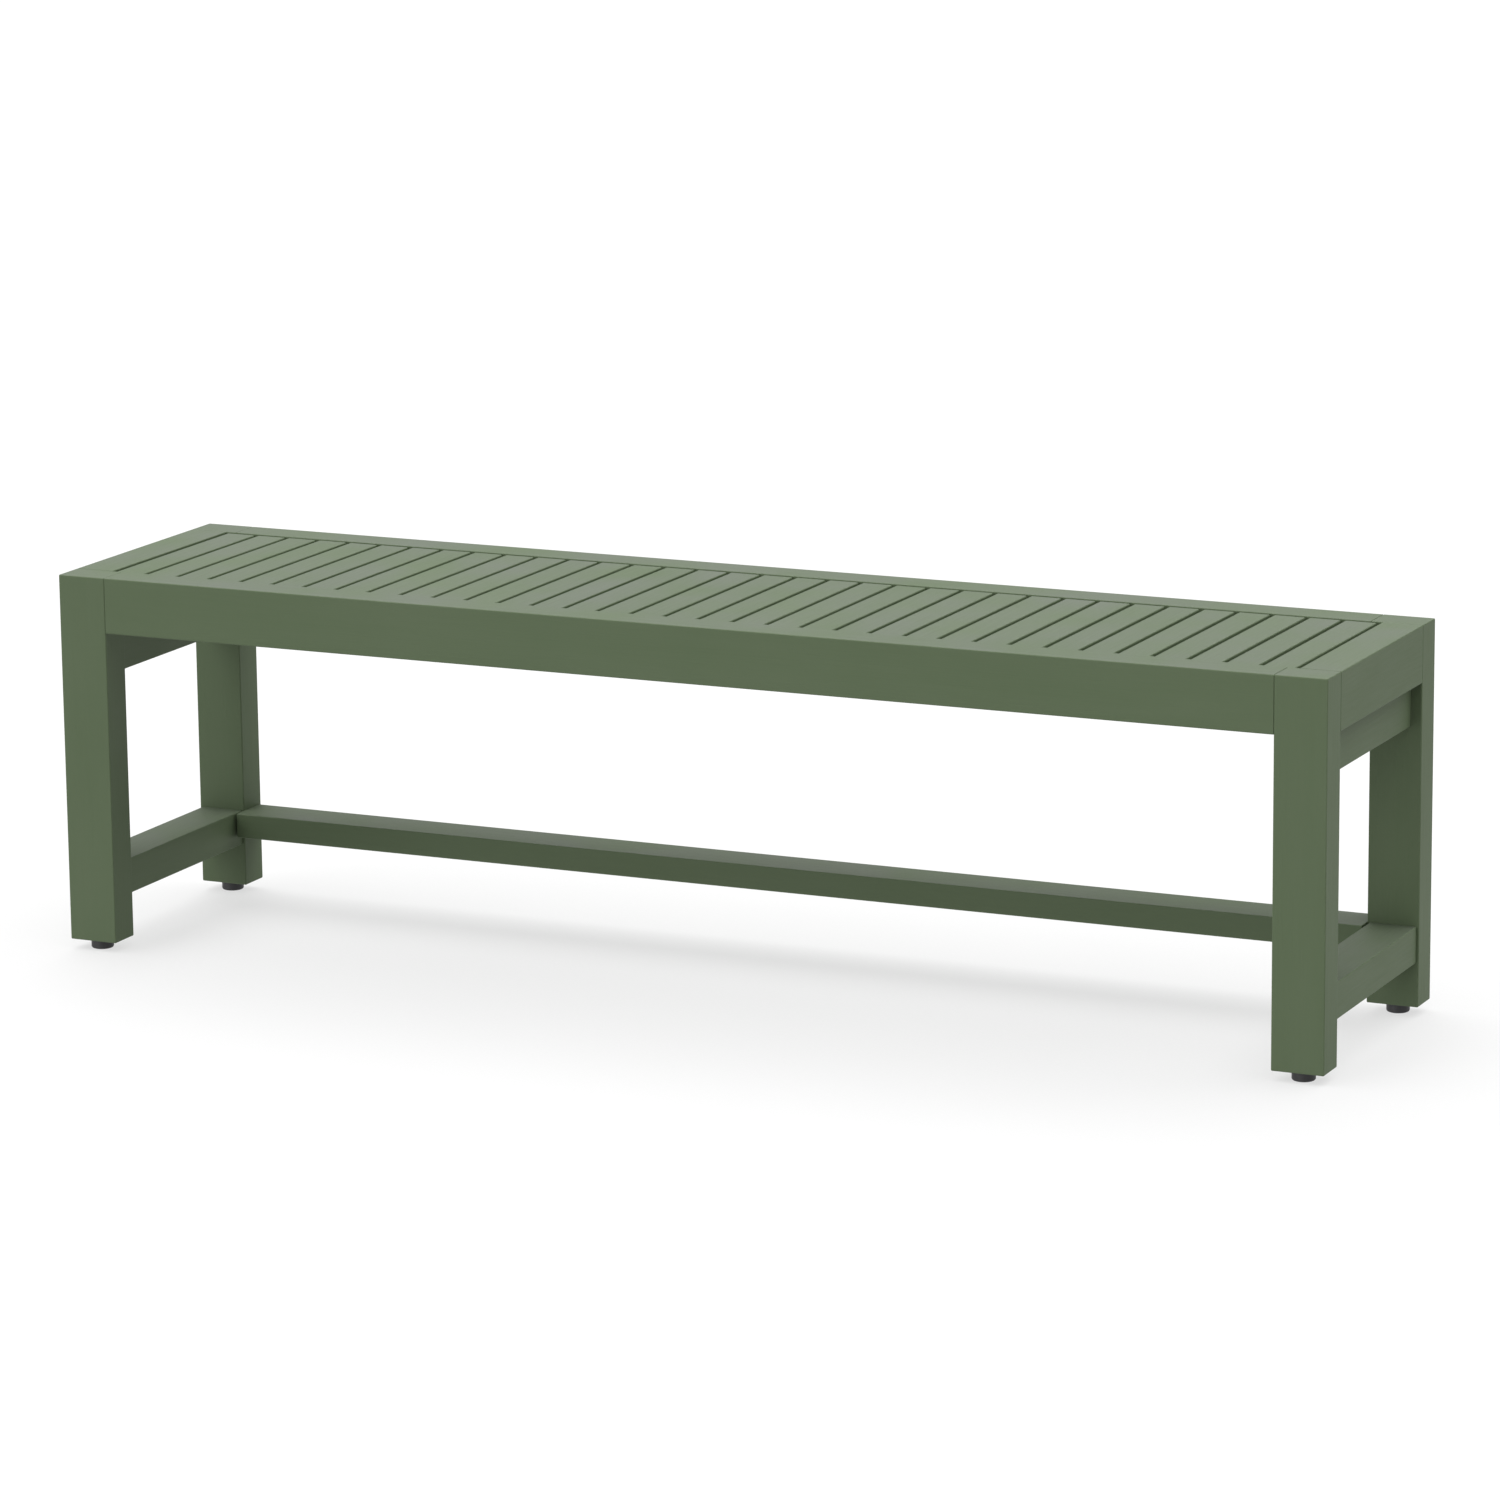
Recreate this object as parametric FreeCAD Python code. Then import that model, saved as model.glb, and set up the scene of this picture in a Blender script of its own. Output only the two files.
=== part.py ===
"""Backless slatted garden bench.

The frame is painted hardwood with glued mortise-and-tenon joints.
Units are millimetres.  +X runs along the seat, +Y to the rear and +Z up.
The origin is on the floor under the middle of the bench.
"""
import FreeCAD, Part
import os

Vector = FreeCAD.Vector

X, Y, Z = 0, 1, 2
LEFT, RIGHT = -1, 1
FRONT, REAR = -1, 1
SIDE_NAMES = {LEFT: "left", RIGHT: "right"}
FACE_NAMES = {FRONT: "front", REAR: "rear"}

# Overall sizes
bench_length = 1590.0
bench_depth = 360.0
seat_height = 457.0

# Legs, which run the full height and show their end grain in the seat's corners
leg_width = 62.0
leg_depth = 43.0

# Seat frame
rail_height = 67.0
end_rail_width = 48.0
apron_thickness = 48.0
apron_height = 51.0
apron_inset = 13.0

# Low stretchers
side_stretcher_height = 43.0
side_stretcher_inset = 3.0
side_stretcher_lift = 52.0
long_stretcher_depth = 58.0
long_stretcher_height = 30.0
long_stretcher_inset = 4.0

# Seat slats
slat_count = 35
slat_gap = 5.5
slat_rear_gap = 5.5
slat_thickness = 22.0
slat_recess = 0.5

# Softened edges
edge_ease = 1.5
end_ease = 0.5
flat_tolerance = 0.01

# Mortise-and-tenon joints
tenon_thickness = 14.0
tenon_shoulder = 8.0
rail_top_shoulder = 14.0
leg_cheek = 15.0
tenon_spacing = 4.0
slat_tenon_length = 12.0
slat_tenon_thickness = 9.0
slat_tenon_shoulder = 4.0
joint_gap = 0.1
glue_pocket = 1.0

# Levelling feet: a plastic pad that swivels on the head of an M8 stud
foot_height = 12.0
foot_gap = 0.3
pad_diameter = 27.0
pad_floor = 4.0
pad_lip = 4.2
pad_edge_radius = 2.5
pad_top_ease = 0.8
throat_clearance = 0.5
stud_diameter = 8.0
thread_pitch = 1.25
thread_depth = 0.7
stud_head_diameter = 16.0
stud_reach = 36.0
stud_tip_ease = 1.0
head_clearance = 0.1
thread_clearance = 0.05
insert_diameter = 12.0
insert_length = 16.0
insert_flange_diameter = 17.0
insert_flange_height = 1.5
insert_seat_gap = 0.05
stud_hole_clearance = 0.5
stud_hole_spare = 4.0

# Places that follow from the sizes above
half_length = bench_length / 2
half_depth = bench_depth / 2
leg_inner_x = half_length - leg_width
leg_inner_y = half_depth - leg_depth
leg_centre_x = half_length - leg_width / 2
leg_centre_y = half_depth - leg_depth / 2
end_rail_inner_x = half_length - end_rail_width
rail_bottom = seat_height - rail_height
apron_bottom = rail_bottom - apron_height
side_stretcher_bottom = foot_height + side_stretcher_lift
side_stretcher_top = side_stretcher_bottom + side_stretcher_height
long_stretcher_bottom = side_stretcher_top - long_stretcher_height
long_stretcher_back = half_depth - long_stretcher_inset
slat_front = -leg_inner_y
slat_back = leg_inner_y - slat_rear_gap
slat_pitch = (2 * end_rail_inner_x - slat_gap) / slat_count
slat_width = slat_pitch - slat_gap
slat_top = seat_height - slat_recess
pad_height = foot_height - foot_gap

# Centre lines of the boards that enter the legs from the side
end_rail_x = half_length - end_rail_width / 2
apron_x = half_length - apron_inset - apron_thickness / 2
side_stretcher_x = leg_centre_x

# The tenons along X stop short of the tenons along Y that cross them
rail_tenon_tip = end_rail_x - tenon_thickness / 2 - tenon_spacing
long_tenon_tip = side_stretcher_x - tenon_thickness / 2 - tenon_spacing
cross_tenon_tip = half_depth - leg_cheek


def block(spans):
    """Return a box from its three spans, each a pair of coordinates in any order."""
    low = [min(span) for span in spans]
    size = [max(span) - min(span) for span in spans]
    return Part.makeBox(size[X], size[Y], size[Z], Vector(*low))


def centred(middle, width):
    """Return the span of a width about its middle."""
    return (middle - width / 2, middle + width / 2)


def edge_extents(edge):
    """Return an edge's lengths along X, Y and Z."""
    box = edge.BoundBox
    return (box.XLength, box.YLength, box.ZLength)


def board(spans, grain):
    """Return a board along the grain axis, with eased long edges and lightly broken ends."""
    solid = block(spans)
    length = max(spans[grain]) - min(spans[grain])
    long_edges = [edge for edge in solid.Edges if edge_extents(edge)[grain] > length / 2]
    solid = solid.makeFillet(edge_ease, long_edges)
    end_edges = [edge for edge in solid.Edges if edge_extents(edge)[grain] < flat_tolerance]
    return solid.makeChamfer(end_ease, end_edges)


def with_tenons(solid, tenons):
    """Return a board joined with its tenons as one solid."""
    for spans in tenons:
        solid = solid.fuse(block(spans))
    return solid.removeSplitter().Solids[0]


def mortise(spans, along):
    """Return the cutter for a tenon's pocket: looser on its sides and deeper at the tip."""
    shoulder, tip = spans[along]
    deeper_tip = tip + glue_pocket if tip > shoulder else tip - glue_pocket
    grown = [(min(span) - joint_gap, max(span) + joint_gap) for span in spans]
    grown[along] = (shoulder, deeper_tip)
    return block(grown)


def rail_tenon(side, face):
    """Spans of a long rail's tenon, which enters its leg along X."""
    return [(side * leg_inner_x, side * rail_tenon_tip),
            centred(face * leg_centre_y, tenon_thickness),
            (rail_bottom + tenon_shoulder, seat_height - rail_top_shoulder)]


def cross_tenon(side, face, middle, heights):
    """Spans of a tenon that enters a leg along Y, from an end rail, apron or side stretcher."""
    return [centred(side * middle, tenon_thickness),
            (face * leg_inner_y, face * cross_tenon_tip),
            heights]


def end_rail_tenon(side, face):
    """Spans of an end rail's tenon, level with the long rails' tenons."""
    heights = (rail_bottom + tenon_shoulder, seat_height - rail_top_shoulder)
    return cross_tenon(side, face, end_rail_x, heights)


def apron_tenon(side, face):
    """Spans of a lower apron's tenon."""
    heights = (apron_bottom + tenon_shoulder, rail_bottom - tenon_shoulder)
    return cross_tenon(side, face, apron_x, heights)


def side_stretcher_tenon(side, face):
    """Spans of a side stretcher's tenon."""
    heights = (side_stretcher_bottom + tenon_shoulder, side_stretcher_top - tenon_shoulder)
    return cross_tenon(side, face, side_stretcher_x, heights)


def long_stretcher_tenon(side):
    """Spans of the long stretcher's tenon, in the rear leg's inner face."""
    middle = (long_stretcher_bottom + side_stretcher_top) / 2
    return [(side * leg_inner_x, side * long_tenon_tip),
            (leg_inner_y + tenon_shoulder, long_stretcher_back - tenon_shoulder),
            centred(middle, tenon_thickness)]


def slat_span(index):
    """Return where a slat lies along X."""
    start = slat_gap - end_rail_inner_x + index * slat_pitch
    return (start, start + slat_width)


def slat_tenon(index, face):
    """Spans of a slat's tenon, kept inside the long rail beside the legs."""
    start, end = slat_span(index)
    shoulder = slat_back if face == REAR else slat_front
    rail_limit = leg_inner_x - tenon_shoulder
    tenon_start = max(start + slat_tenon_shoulder, -rail_limit)
    tenon_end = min(end - slat_tenon_shoulder, rail_limit)
    return [(tenon_start, tenon_end),
            (shoulder, face * (leg_inner_y + slat_tenon_length)),
            centred(slat_top - slat_thickness / 2, slat_tenon_thickness)]


def cylinder(diameter, bottom, top):
    """Return an upright cylinder on the Z axis."""
    return Part.makeCylinder(diameter / 2, top - bottom, Vector(0, 0, bottom))


def at_leg(solid, side, face):
    """Return a solid moved from the Z axis to the middle of a leg."""
    moved = solid.copy()
    moved.translate(Vector(side * leg_centre_x, face * leg_centre_y, 0))
    return moved


def foot_bore():
    """Return the cutter for a foot's hole in the end of a leg."""
    flange_top = foot_height + insert_flange_height + insert_seat_gap
    insert_top = foot_height + insert_length + insert_seat_gap
    stud_top = foot_height + stud_reach + stud_hole_spare
    flange = cylinder(insert_flange_diameter + 2 * insert_seat_gap, foot_height, flange_top)
    body = cylinder(insert_diameter + 2 * insert_seat_gap, foot_height, insert_top)
    shaft = cylinder(stud_diameter + 2 * stud_hole_clearance, foot_height, stud_top)
    return flange.fuse([body, shaft])


def leg(side, face):
    """Return a leg with a pocket for each tenon that meets it and a bore for its foot."""
    solid = block([(side * leg_inner_x, side * half_length),
                   (face * leg_inner_y, face * half_depth),
                   (foot_height, seat_height)])
    solid = solid.makeFillet(edge_ease, solid.Edges)
    pockets = [mortise(rail_tenon(side, face), X),
               mortise(end_rail_tenon(side, face), Y),
               mortise(apron_tenon(side, face), Y),
               mortise(side_stretcher_tenon(side, face), Y),
               at_leg(foot_bore(), side, face)]
    if face == REAR:
        pockets.append(mortise(long_stretcher_tenon(side), X))
    return solid.cut(pockets)


def rail(face):
    """Return the front or rear rail, with a pocket for each slat's tenon."""
    solid = board([(-leg_inner_x, leg_inner_x),
                   (face * leg_inner_y, face * half_depth),
                   (rail_bottom, seat_height)], X)
    solid = with_tenons(solid, [rail_tenon(side, face) for side in (LEFT, RIGHT)])
    pockets = [mortise(slat_tenon(index, face), Y) for index in range(slat_count)]
    return solid.cut(pockets)


def end_rail(side):
    """Return the rail that closes the seat's end between a front and a rear leg."""
    solid = board([(side * end_rail_inner_x, side * half_length),
                   (-leg_inner_y, leg_inner_y),
                   (rail_bottom, seat_height)], Y)
    return with_tenons(solid, [end_rail_tenon(side, face) for face in (FRONT, REAR)])


def lower_apron(side):
    """Return the apron that lies directly under an end rail, set in from the legs' faces."""
    solid = board([centred(side * apron_x, apron_thickness),
                   (-leg_inner_y, leg_inner_y),
                   (apron_bottom, rail_bottom)], Y)
    return with_tenons(solid, [apron_tenon(side, face) for face in (FRONT, REAR)])


def side_stretcher(side):
    """Return the low board between a front and a rear leg, slimmer than the legs."""
    width = leg_width - 2 * side_stretcher_inset
    solid = board([centred(side * side_stretcher_x, width),
                   (-leg_inner_y, leg_inner_y),
                   (side_stretcher_bottom, side_stretcher_top)], Y)
    return with_tenons(solid, [side_stretcher_tenon(side, face) for face in (FRONT, REAR)])


def long_stretcher():
    """Return the stretcher between the rear legs, level with the side stretchers' tops."""
    solid = board([(-leg_inner_x, leg_inner_x),
                   (long_stretcher_back - long_stretcher_depth, long_stretcher_back),
                   (long_stretcher_bottom, side_stretcher_top)], X)
    return with_tenons(solid, [long_stretcher_tenon(side) for side in (LEFT, RIGHT)])


def slat(index):
    """Return one seat slat, tight to the front rail and a drainage gap short of the rear."""
    solid = board([slat_span(index),
                   (slat_front, slat_back),
                   (slat_top - slat_thickness, slat_top)], Y)
    return with_tenons(solid, [slat_tenon(index, face) for face in (FRONT, REAR)])


def foot_pad():
    """Return a round pad with an undercut socket for the stud's head."""
    pad = cylinder(pad_diameter, 0, pad_height)
    bottom_edges = [edge for edge in pad.Edges if edge.BoundBox.ZMax < pad_edge_radius]
    pad = pad.makeFillet(pad_edge_radius, bottom_edges)
    top_edges = [edge for edge in pad.Edges if edge.BoundBox.ZMin > pad_height - pad_top_ease]
    pad = pad.makeChamfer(pad_top_ease, top_edges)
    socket = cylinder(stud_head_diameter + 2 * head_clearance, pad_floor, pad_height - pad_lip)
    throat = cylinder(stud_diameter + 2 * throat_clearance, pad_floor, pad_height)
    return pad.cut(socket.fuse(throat)).Solids[0]


def foot_stud():
    """Return a stud with a flat round head and its thread as rings at the thread's pitch."""
    head_bottom = pad_floor + head_clearance
    head_top = pad_height - pad_lip - head_clearance
    tip = foot_height + stud_reach
    crest = stud_diameter / 2
    root = crest - thread_depth
    outline = [(0, head_bottom), (stud_head_diameter / 2, head_bottom),
               (stud_head_diameter / 2, head_top), (crest, head_top)]
    groove = foot_height + thread_pitch
    while groove + thread_pitch < tip - stud_tip_ease:
        outline.append((crest, groove))
        outline.append((root, groove + thread_pitch / 2))
        groove = groove + thread_pitch
    outline += [(crest, groove), (crest, tip - stud_tip_ease),
                (crest - stud_tip_ease, tip), (0, tip)]
    points = [Vector(radius, 0, height) for radius, height in outline]
    profile = Part.Face(Part.makePolygon(points + [points[0]]))
    return profile.revolve(Vector(0, 0, 0), Vector(0, 0, 1), 360)


def foot_insert():
    """Return the threaded insert that the stud turns in, let in flush with the leg's end."""
    flange = cylinder(insert_flange_diameter, foot_height, foot_height + insert_flange_height)
    body = cylinder(insert_diameter, foot_height, foot_height + insert_length)
    bore = cylinder(stud_diameter + 2 * thread_clearance, foot_height, foot_height + insert_length)
    return flange.fuse(body).cut(bore).Solids[0]


def all_parts():
    """Return every node's shape by its name."""
    corners = [(side, face) for face in (FRONT, REAR) for side in (LEFT, RIGHT)]
    parts = {}
    for side, face in corners:
        parts["leg_{}_{}".format(FACE_NAMES[face], SIDE_NAMES[side])] = leg(side, face)
    for face in (FRONT, REAR):
        parts["rail_{}".format(FACE_NAMES[face])] = rail(face)
    for side in (LEFT, RIGHT):
        parts["end_rail_{}".format(SIDE_NAMES[side])] = end_rail(side)
        parts["lower_apron_{}".format(SIDE_NAMES[side])] = lower_apron(side)
        parts["side_stretcher_{}".format(SIDE_NAMES[side])] = side_stretcher(side)
    parts["long_stretcher"] = long_stretcher()
    for index in range(slat_count):
        parts["slat_{:02d}".format(index + 1)] = slat(index)
    for side, face in corners:
        corner = "{}_{}".format(FACE_NAMES[face], SIDE_NAMES[side])
        parts["foot_pad_" + corner] = at_leg(foot_pad(), side, face)
        parts["foot_stud_" + corner] = at_leg(foot_stud(), side, face)
    inserts = [at_leg(foot_insert(), side, face) for side, face in corners]
    parts["foot_inserts"] = Part.makeCompound(inserts)
    return parts


os.makedirs("parts", exist_ok=True)
for name, shape in all_parts().items():
    shape.exportStep("parts/" + name + ".step")
    print(name, shape.isValid(), len(shape.Solids), round(shape.Volume))
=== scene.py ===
"""Looks of a backless slatted bench: satin opaque paint on hardwood boards, black nylon feet
and plated steel studs, on a plain white studio floor.  Lengths are in metres."""
import math

import bpy
from mathutils import Matrix, Vector


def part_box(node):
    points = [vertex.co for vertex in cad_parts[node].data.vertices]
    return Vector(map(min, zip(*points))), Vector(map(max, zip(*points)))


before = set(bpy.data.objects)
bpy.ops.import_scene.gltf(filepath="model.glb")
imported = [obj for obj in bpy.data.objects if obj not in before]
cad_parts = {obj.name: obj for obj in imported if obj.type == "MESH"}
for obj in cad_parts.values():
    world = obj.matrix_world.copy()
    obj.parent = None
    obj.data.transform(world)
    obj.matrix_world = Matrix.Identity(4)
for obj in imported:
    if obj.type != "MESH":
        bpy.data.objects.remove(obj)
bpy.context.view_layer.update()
scene = bpy.context.scene

# Colours are linear RGB
PAINT = (0.068, 0.095, 0.050)
PAINT_GREYED = (0.079, 0.105, 0.060)
# Painted sheen: a lighter, greyer tone laid on the tops in place of the satin paint's reflections
PAINTED_SHEEN_TONE = (0.090, 0.102, 0.083)
# Worn paint on eased edges, partly a painted edge highlight in the same lighter tone
PAINT_WORN_AND_HIGHLIGHT = (0.150, 0.170, 0.132)
NYLON = (0.012, 0.012, 0.013)
NYLON_SCUFFED = (0.045, 0.045, 0.046)
ZINC = (0.56, 0.57, 0.55)
ZINC_DULL = (0.38, 0.39, 0.37)
BRASS = (0.66, 0.49, 0.22)
BRASS_DULL = (0.34, 0.24, 0.11)
FLOOR = (0.14, 0.14, 0.14)
FLOOR_SHADE = 0.985  # of the floor's colour, in its darker patches
FLOOR_GLOW = 0.65
FLOOR_HALF_WIDTH = 40.0
WHITE = (1.0, 1.0, 1.0, 1.0)

# Textures: a noise's values lie mostly in this span, and EVEN is no stretch along any axis
NOISE_SPAN = (0.3, 0.7)
EVEN = (1.0, 1.0, 1.0)

# Relief in the surfaces: its depth in metres
PORE_DEPTH = 0.00022
BRUSHING_DEPTH = 0.00008
PEEL_DEPTH = 0.00005
NYLON_DEPTH = 0.00006
TURNING_DEPTH = 0.00003
PAPER_DEPTH = 0.0001

# Masks: the width of a worn edge with its painted highlight, how far a normal leans there (as a
# cosine, from most to least), and the upward part of a normal where the painted sheen on tops
# starts and is whole
EDGE_SAMPLES = 6
PAINT_EDGE = 0.0024
PAINT_EDGE_LEAN = (0.80, 0.995)
NYLON_EDGE = 0.0012
NYLON_EDGE_LEAN = (0.80, 0.99)
SHEEN_UPWARD_SPAN = (0.6, 0.95)
BOARD_TONE_SPAN = (-0.18, 0.22)

PAINT_IOR = 1.48
PAINT_SPECULAR = 0.16
NYLON_IOR = 1.53

# Camera, aimed from in front and to the right
CAMERA_AZIMUTH = math.radians(24.95)
CAMERA_ELEVATION = math.radians(12.56)
CAMERA_ROLL = math.radians(-0.58)
CAMERA_DISTANCE = 7.224
CAMERA_OFFSET = (0.0201, 0.0236)
CAMERA_TARGET = Vector((0.0, 0.0, 0.250))
FOCAL_LENGTH_MM = 148.85
SENSOR_WIDTH_MM = 36.0
CAMERA_REACH = 200.0

# Studio lights by name: the direction from the bench to the light, its strength and its spread
SURROUND_STRENGTH = 0.27
LIGHTS = {"overhead_light": ((-0.12, 0.07, 1.0), 6.15, math.radians(100.0)),
          "right_light": ((1.0, 0.45, 0.70), 0.75, math.radians(40.0)),
          "front_light": ((-0.50, -1.0, 0.30), 1.25, math.radians(40.0))}


class Nodes:
    """A short way to add shader nodes to one material and link them."""

    def __init__(self, material):
        material.use_nodes = True
        self.tree = material.node_tree
        self.tree.nodes.clear()

    def add(self, kind, **settings):
        node = self.tree.nodes.new("ShaderNode" + kind)
        for name, value in settings.items():
            setattr(node, name, value)
        return node

    def link(self, source, target):
        self.tree.links.new(source, target)

    def object_point(self, stretch):
        """The place on the part in metres, multiplied by a stretch along each axis."""
        coordinates = self.add("TexCoord")
        mapping = self.add("Mapping")
        mapping.inputs["Scale"].default_value = stretch
        self.link(coordinates.outputs["Object"], mapping.inputs["Vector"])
        return mapping.outputs["Vector"]

    def noise(self, stretch, scale, detail=3.0, roughness=0.5, distortion=0.0):
        """Noise between 0 and 1 at a place on the part; the scale is its cycles to a metre."""
        noise = self.add("TexNoise")
        self.link(self.object_point(stretch), noise.inputs["Vector"])
        noise.inputs["Scale"].default_value = scale
        noise.inputs["Detail"].default_value = detail
        noise.inputs["Roughness"].default_value = roughness
        noise.inputs["Distortion"].default_value = distortion
        return noise.outputs["Fac"]

    def ranged(self, value, low, high, new_low, new_high):
        """Map a value from the range low to high onto the new range, and hold it inside."""
        node = self.add("MapRange")
        self.link(value, node.inputs["Value"])
        node.inputs["From Min"].default_value = low
        node.inputs["From Max"].default_value = high
        node.inputs["To Min"].default_value = new_low
        node.inputs["To Max"].default_value = new_high
        return node.outputs["Result"]

    def math(self, operation, first, second):
        node = self.add("Math", operation=operation)
        for socket, value in zip(node.inputs, (first, second)):
            if isinstance(value, (int, float)):
                socket.default_value = value
            else:
                self.link(value, socket)
        return node.outputs["Value"]

    def mixed(self, factor, first, second):
        """Mix two colours, each a fixed colour or another node's output."""
        node = self.add("Mix", data_type="RGBA")
        self.link(factor, node.inputs["Factor"])
        for name, value in (("A", first), ("B", second)):
            socket = [s for s in node.inputs if s.name == name and s.type == "RGBA"][0]
            if isinstance(value, tuple):
                socket.default_value = value + (1.0,)
            else:
                self.link(value, socket)
        return [s for s in node.outputs if s.type == "RGBA"][0]

    def edge_mask(self, radius, low, high):
        """1 on eased edges and 0 on flat faces, from how far a rounded normal leans."""
        bevel = self.add("Bevel", samples=EDGE_SAMPLES)
        bevel.inputs["Radius"].default_value = radius
        geometry = self.add("NewGeometry")
        lean = self.add("VectorMath", operation="DOT_PRODUCT")
        self.link(bevel.outputs["Normal"], lean.inputs[0])
        self.link(geometry.outputs["True Normal"], lean.inputs[1])
        return self.ranged(lean.outputs["Value"], high, low, 0.0, 1.0)

    def sheen_upward_mask(self):
        """1 on faces that look up and 0 on upright ones: where the painted sheen lies."""
        geometry = self.add("NewGeometry")
        parts = self.add("SeparateXYZ")
        self.link(geometry.outputs["True Normal"], parts.inputs["Vector"])
        return self.ranged(parts.outputs["Z"], *SHEEN_UPWARD_SPAN, 0.0, 1.0)

    def bump(self, height, depth, strength, normal=None):
        """Raise the surface by a height map, on top of another bump's normal if one is given."""
        node = self.add("Bump")
        node.inputs["Distance"].default_value = depth
        node.inputs["Strength"].default_value = strength
        self.link(height, node.inputs["Height"])
        if normal is not None:
            self.link(normal, node.inputs["Normal"])
        return node.outputs["Normal"]

    def surface(self, color, roughness, normal, **values):
        """End the material in a shader, with fixed values for its other sockets by name."""
        shader = self.add("BsdfPrincipled")
        self.link(color, shader.inputs["Base Color"])
        self.link(roughness, shader.inputs["Roughness"])
        self.link(normal, shader.inputs["Normal"])
        for name, value in values.items():
            shader.inputs[name.replace("_", " ")].default_value = value
        output = self.add("OutputMaterial")
        self.link(shader.outputs["BSDF"], output.inputs["Surface"])


def along(axis, lengthwise):
    """Texture stretch for boards whose grain runs along one axis."""
    stretch = list(EVEN)
    stretch[axis] = lengthwise
    return tuple(stretch)


def painted_wood(name, axis, board_pitch=None):
    """Satin opaque paint over planed hardwood, whose grain still shows faintly in the film."""
    nodes = Nodes(bpy.data.materials.new(name))
    pores = nodes.noise(along(axis, 0.035), scale=420.0, detail=4.0, roughness=0.6)
    figure = nodes.noise(along(axis, 0.12), scale=34.0, detail=3.0, distortion=0.4)
    brushing = nodes.noise(along(axis, 0.02), scale=900.0, detail=2.0)
    clouds = nodes.noise(EVEN, scale=5.5, detail=2.0)
    peel = nodes.noise(EVEN, scale=620.0, detail=1.0)
    edges = nodes.edge_mask(PAINT_EDGE, *PAINT_EDGE_LEAN)

    tone = nodes.math("ADD", nodes.ranged(clouds, *NOISE_SPAN, 0.0, 0.45),
                      nodes.ranged(figure, *NOISE_SPAN, 0.0, 0.30))
    if board_pitch:
        tone = nodes.math("ADD", tone, board_tone(nodes, board_pitch))
    color = nodes.mixed(nodes.math("ADD", tone, nodes.ranged(pores, 0.35, 0.75, -0.10, 0.16)),
                        PAINT, PAINT_GREYED)
    # Painted sheen: lighter, greyer blotches on upward faces that stand in for the satin paint's
    # reflections
    patches = nodes.noise(EVEN, scale=9.0, detail=2.0)
    painted_sheen = nodes.math("MULTIPLY", nodes.sheen_upward_mask(),
                        nodes.ranged(patches, *NOISE_SPAN, 0.15, 0.75))
    color = nodes.mixed(painted_sheen, color, PAINTED_SHEEN_TONE)
    # Eased edges go lighter: partly worn paint, partly a painted edge highlight
    wear_and_highlight_noise = nodes.noise(EVEN, scale=95.0, detail=4.0, roughness=0.7)
    wear_and_highlight = nodes.math("MULTIPLY", edges, nodes.ranged(wear_and_highlight_noise, 0.40, 0.66, 0.0, 0.12))
    color = nodes.mixed(wear_and_highlight, color, PAINT_WORN_AND_HIGHLIGHT)

    roughness = nodes.math("ADD", nodes.ranged(clouds, *NOISE_SPAN, 0.50, 0.58),
                           nodes.ranged(pores, *NOISE_SPAN, -0.03, 0.05))
    normal = nodes.bump(pores, PORE_DEPTH, 0.55)
    normal = nodes.bump(brushing, BRUSHING_DEPTH, 0.45, normal)
    normal = nodes.bump(peel, PEEL_DEPTH, 0.35, normal)
    nodes.surface(color, roughness, normal, IOR=PAINT_IOR, Specular_IOR_Level=PAINT_SPECULAR)
    return bpy.data.materials[name]


def board_tone(nodes, pitch):
    """A small steady difference in tone from one slat to the next along X."""
    place = nodes.add("SeparateXYZ")
    nodes.link(nodes.object_point(EVEN), place.inputs["Vector"])
    slats_from_middle = nodes.math("ADD", nodes.math("DIVIDE", place.outputs["X"], pitch), 0.5)
    slat_number = nodes.math("FLOOR", slats_from_middle, 0.0)
    random = nodes.add("TexWhiteNoise", noise_dimensions="1D")
    nodes.link(slat_number, random.inputs["W"])
    return nodes.ranged(random.outputs["Value"], 0.0, 1.0, *BOARD_TONE_SPAN)


def black_nylon(name):
    """Moulded nylon with a fine matt texture, scuffed grey on its edges."""
    nodes = Nodes(bpy.data.materials.new(name))
    texture = nodes.noise(EVEN, scale=1500.0, detail=2.0)
    dust = nodes.noise(EVEN, scale=130.0, detail=4.0, roughness=0.65)
    edges = nodes.edge_mask(NYLON_EDGE, *NYLON_EDGE_LEAN)
    worn = nodes.math("ADD", nodes.math("MULTIPLY", edges, 0.45),
                      nodes.ranged(dust, 0.5, 0.75, 0.0, 0.30))
    color = nodes.mixed(worn, NYLON, NYLON_SCUFFED)
    roughness = nodes.ranged(dust, *NOISE_SPAN, 0.42, 0.58)
    nodes.surface(color, roughness, nodes.bump(texture, NYLON_DEPTH, 0.5), IOR=NYLON_IOR)
    return bpy.data.materials[name]


def plated_metal(name, bright, dull, roughness_range):
    """Turned and plated metal: fine rings round the axis, with dull patches in the plating."""
    nodes = Nodes(bpy.data.materials.new(name))
    patches = nodes.noise(EVEN, scale=210.0, detail=4.0, roughness=0.6)
    rings = nodes.noise((0.05, 0.05, 1.0), scale=2600.0, detail=2.0)
    color = nodes.mixed(nodes.ranged(patches, 0.38, 0.72, 0.0, 0.8), bright, dull)
    roughness = nodes.math("ADD", nodes.ranged(patches, *NOISE_SPAN, *roughness_range),
                           nodes.ranged(rings, *NOISE_SPAN, -0.04, 0.06))
    nodes.surface(color, roughness, nodes.bump(rings, TURNING_DEPTH, 0.4), Metallic=1.0)
    return bpy.data.materials[name]


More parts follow.
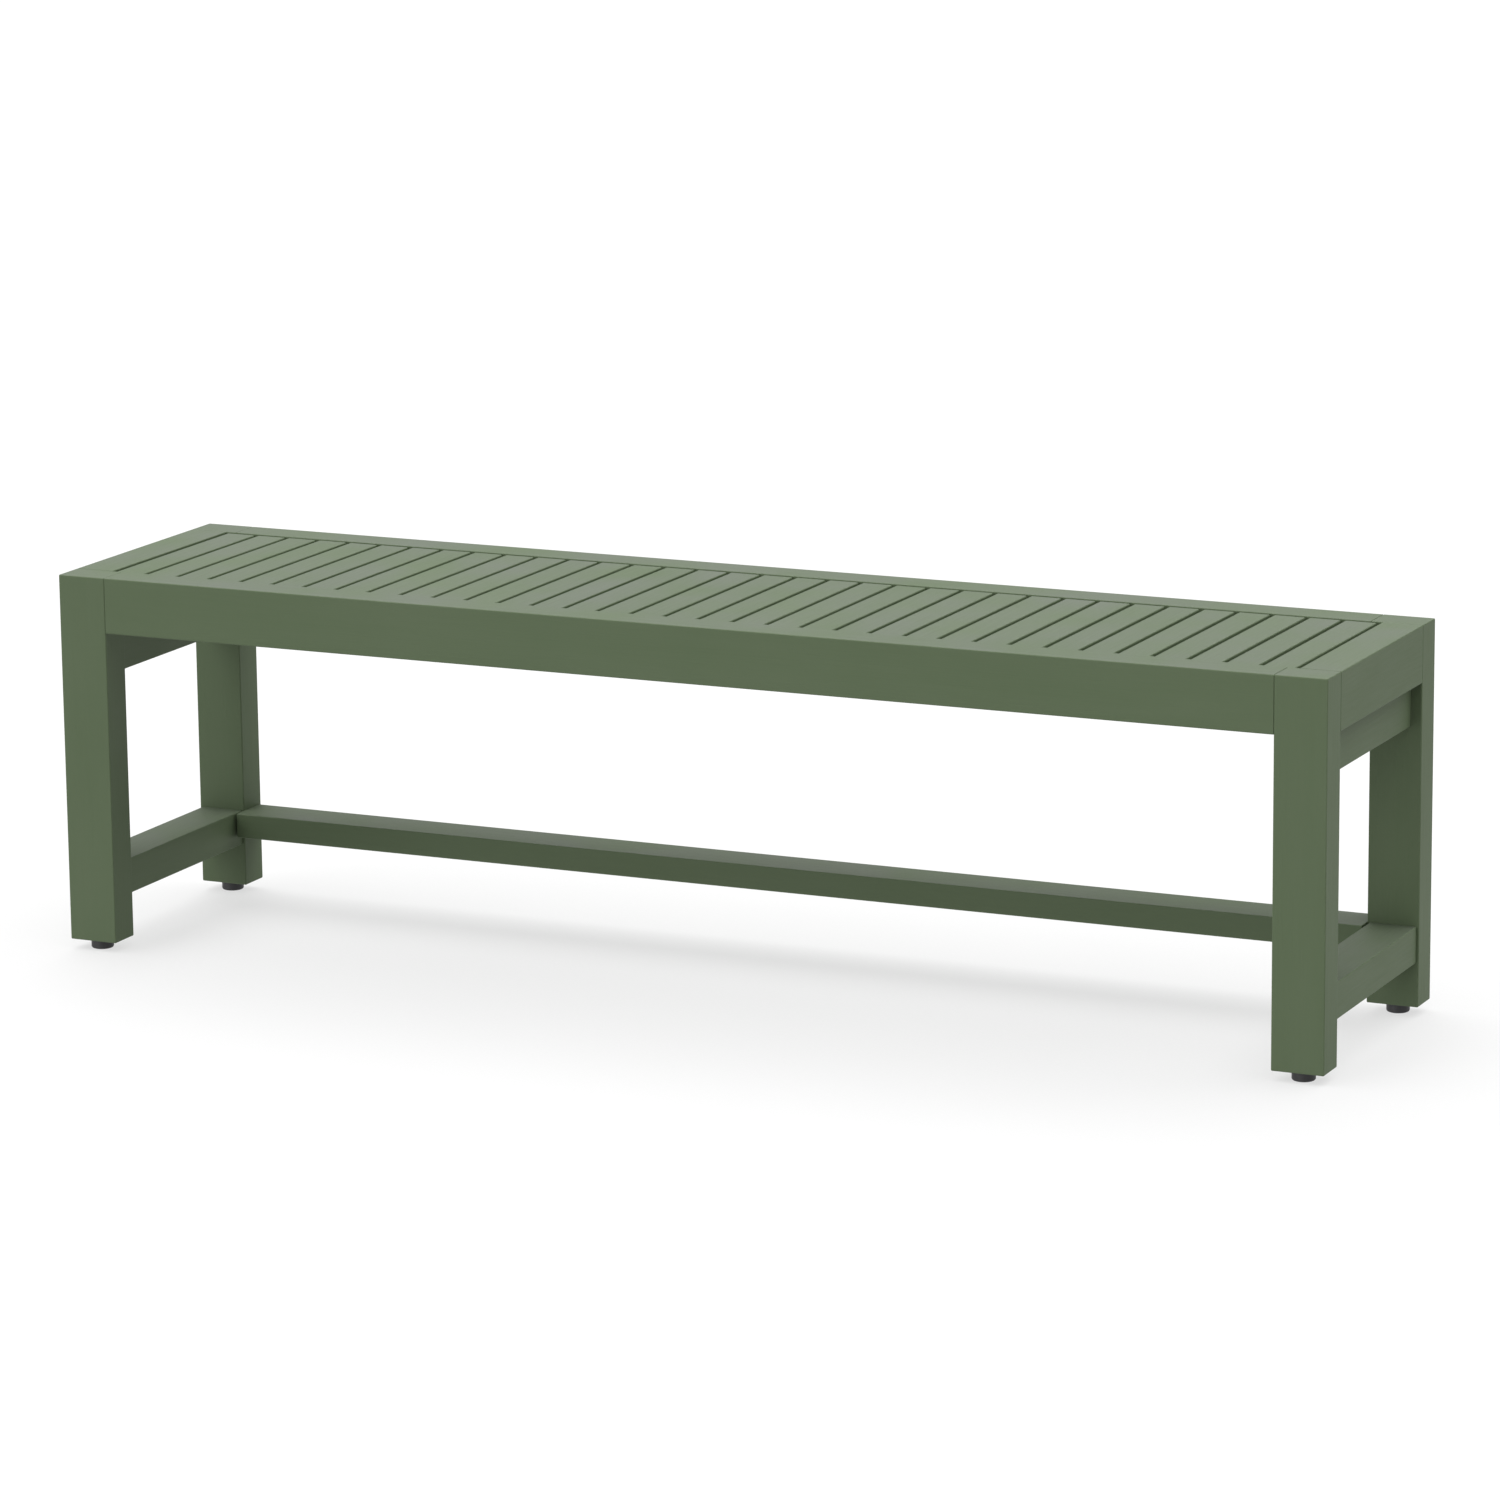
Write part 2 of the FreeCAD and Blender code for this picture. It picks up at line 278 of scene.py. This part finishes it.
def studio_floor_material(name):
    """Grey seamless paper with barely visible mottling, and a glow that brings it up to white."""
    nodes = Nodes(bpy.data.materials.new(name))
    mottle = nodes.noise(EVEN, scale=1.3, detail=3.0)
    shade = tuple(channel * FLOOR_SHADE for channel in FLOOR)
    color = nodes.mixed(nodes.ranged(mottle, *NOISE_SPAN, 0.0, 1.0), FLOOR, shade)
    fine = nodes.noise(EVEN, scale=260.0, detail=2.0)
    roughness = nodes.ranged(fine, *NOISE_SPAN, 0.75, 0.85)
    nodes.surface(color, roughness, nodes.bump(fine, PAPER_DEPTH, 0.1),
                  Emission_Color=WHITE, Emission_Strength=FLOOR_GLOW)
    return bpy.data.materials[name]


def slat_pitch():
    """The distance from one slat to the next, from two neighbours in the frame."""
    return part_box("slat_02")[0].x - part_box("slat_01")[0].x


def finish_nodes():
    """Give every CAD node the finish of its material, with the grain along its board."""
    paint_x = painted_wood("paint_grain_x", 0)
    paint_y = painted_wood("paint_grain_y", 1)
    paint_z = painted_wood("paint_grain_z", 2)
    paint_slats = painted_wood("paint_slats", 1, board_pitch=slat_pitch())
    nylon = black_nylon("nylon_feet")
    zinc = plated_metal("zinc_studs", ZINC, ZINC_DULL, (0.26, 0.42))
    brass = plated_metal("brass_inserts", BRASS, BRASS_DULL, (0.30, 0.46))
    by_start = {"leg_": paint_z, "rail_": paint_x, "long_stretcher": paint_x,
                "end_rail_": paint_y, "lower_apron_": paint_y, "side_stretcher_": paint_y,
                "slat_": paint_slats, "foot_pad_": nylon, "foot_stud_": zinc,
                "foot_inserts": brass}
    for name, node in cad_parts.items():
        material = [by_start[start] for start in by_start if name.startswith(start)][0]
        for slot in node.material_slots:
            slot.material = material


def add_floor():
    """A large flat floor that passes beyond the picture on every side."""
    half = FLOOR_HALF_WIDTH
    mesh = bpy.data.meshes.new("studio_floor")
    corners = [(-half, -half, 0.0), (half, -half, 0.0), (half, half, 0.0), (-half, half, 0.0)]
    mesh.from_pydata(corners, [], [(0, 1, 2, 3)])
    floor = bpy.data.objects.new("studio_floor", mesh)
    floor.data.materials.append(studio_floor_material("studio_floor"))
    scene.collection.objects.link(floor)


def add_lights():
    """A dim white surround, a very soft light from overhead and two soft fills."""
    world = bpy.data.worlds.new("white_studio")
    world.use_nodes = True
    background = world.node_tree.nodes["Background"]
    background.inputs["Color"].default_value = WHITE
    background.inputs["Strength"].default_value = SURROUND_STRENGTH
    scene.world = world
    for name, (direction, strength, spread) in LIGHTS.items():
        light = bpy.data.lights.new(name, "SUN")
        light.energy = strength
        light.angle = spread
        lamp = bpy.data.objects.new(name, light)
        lamp.rotation_euler = Vector(direction).to_track_quat("Z", "Y").to_euler()
        scene.collection.objects.link(lamp)


def add_camera():
    """Place the camera by its angles round the bench, then shift it to frame the bench."""
    azimuth, elevation = CAMERA_AZIMUTH, CAMERA_ELEVATION
    back = Vector((math.sin(azimuth) * math.cos(elevation),
                   -math.cos(azimuth) * math.cos(elevation),
                   math.sin(elevation)))
    right = (-back).cross(Vector((0.0, 0.0, 1.0))).normalized()
    up = back.cross(right)
    turn = Matrix((right, up, back)).transposed() @ Matrix.Rotation(CAMERA_ROLL, 3, "Z")
    data = bpy.data.cameras.new("camera")
    data.lens = FOCAL_LENGTH_MM
    data.sensor_width = SENSOR_WIDTH_MM
    data.clip_end = CAMERA_REACH
    camera = bpy.data.objects.new("camera", data)
    place = (CAMERA_TARGET + back * CAMERA_DISTANCE
             + turn.col[0] * CAMERA_OFFSET[0] + turn.col[1] * CAMERA_OFFSET[1])
    camera.matrix_world = Matrix.Translation(place) @ turn.to_4x4()
    scene.collection.objects.link(camera)
    scene.camera = camera


scene.view_settings.view_transform = "Standard"
finish_nodes()
add_floor()
add_lights()
add_camera()
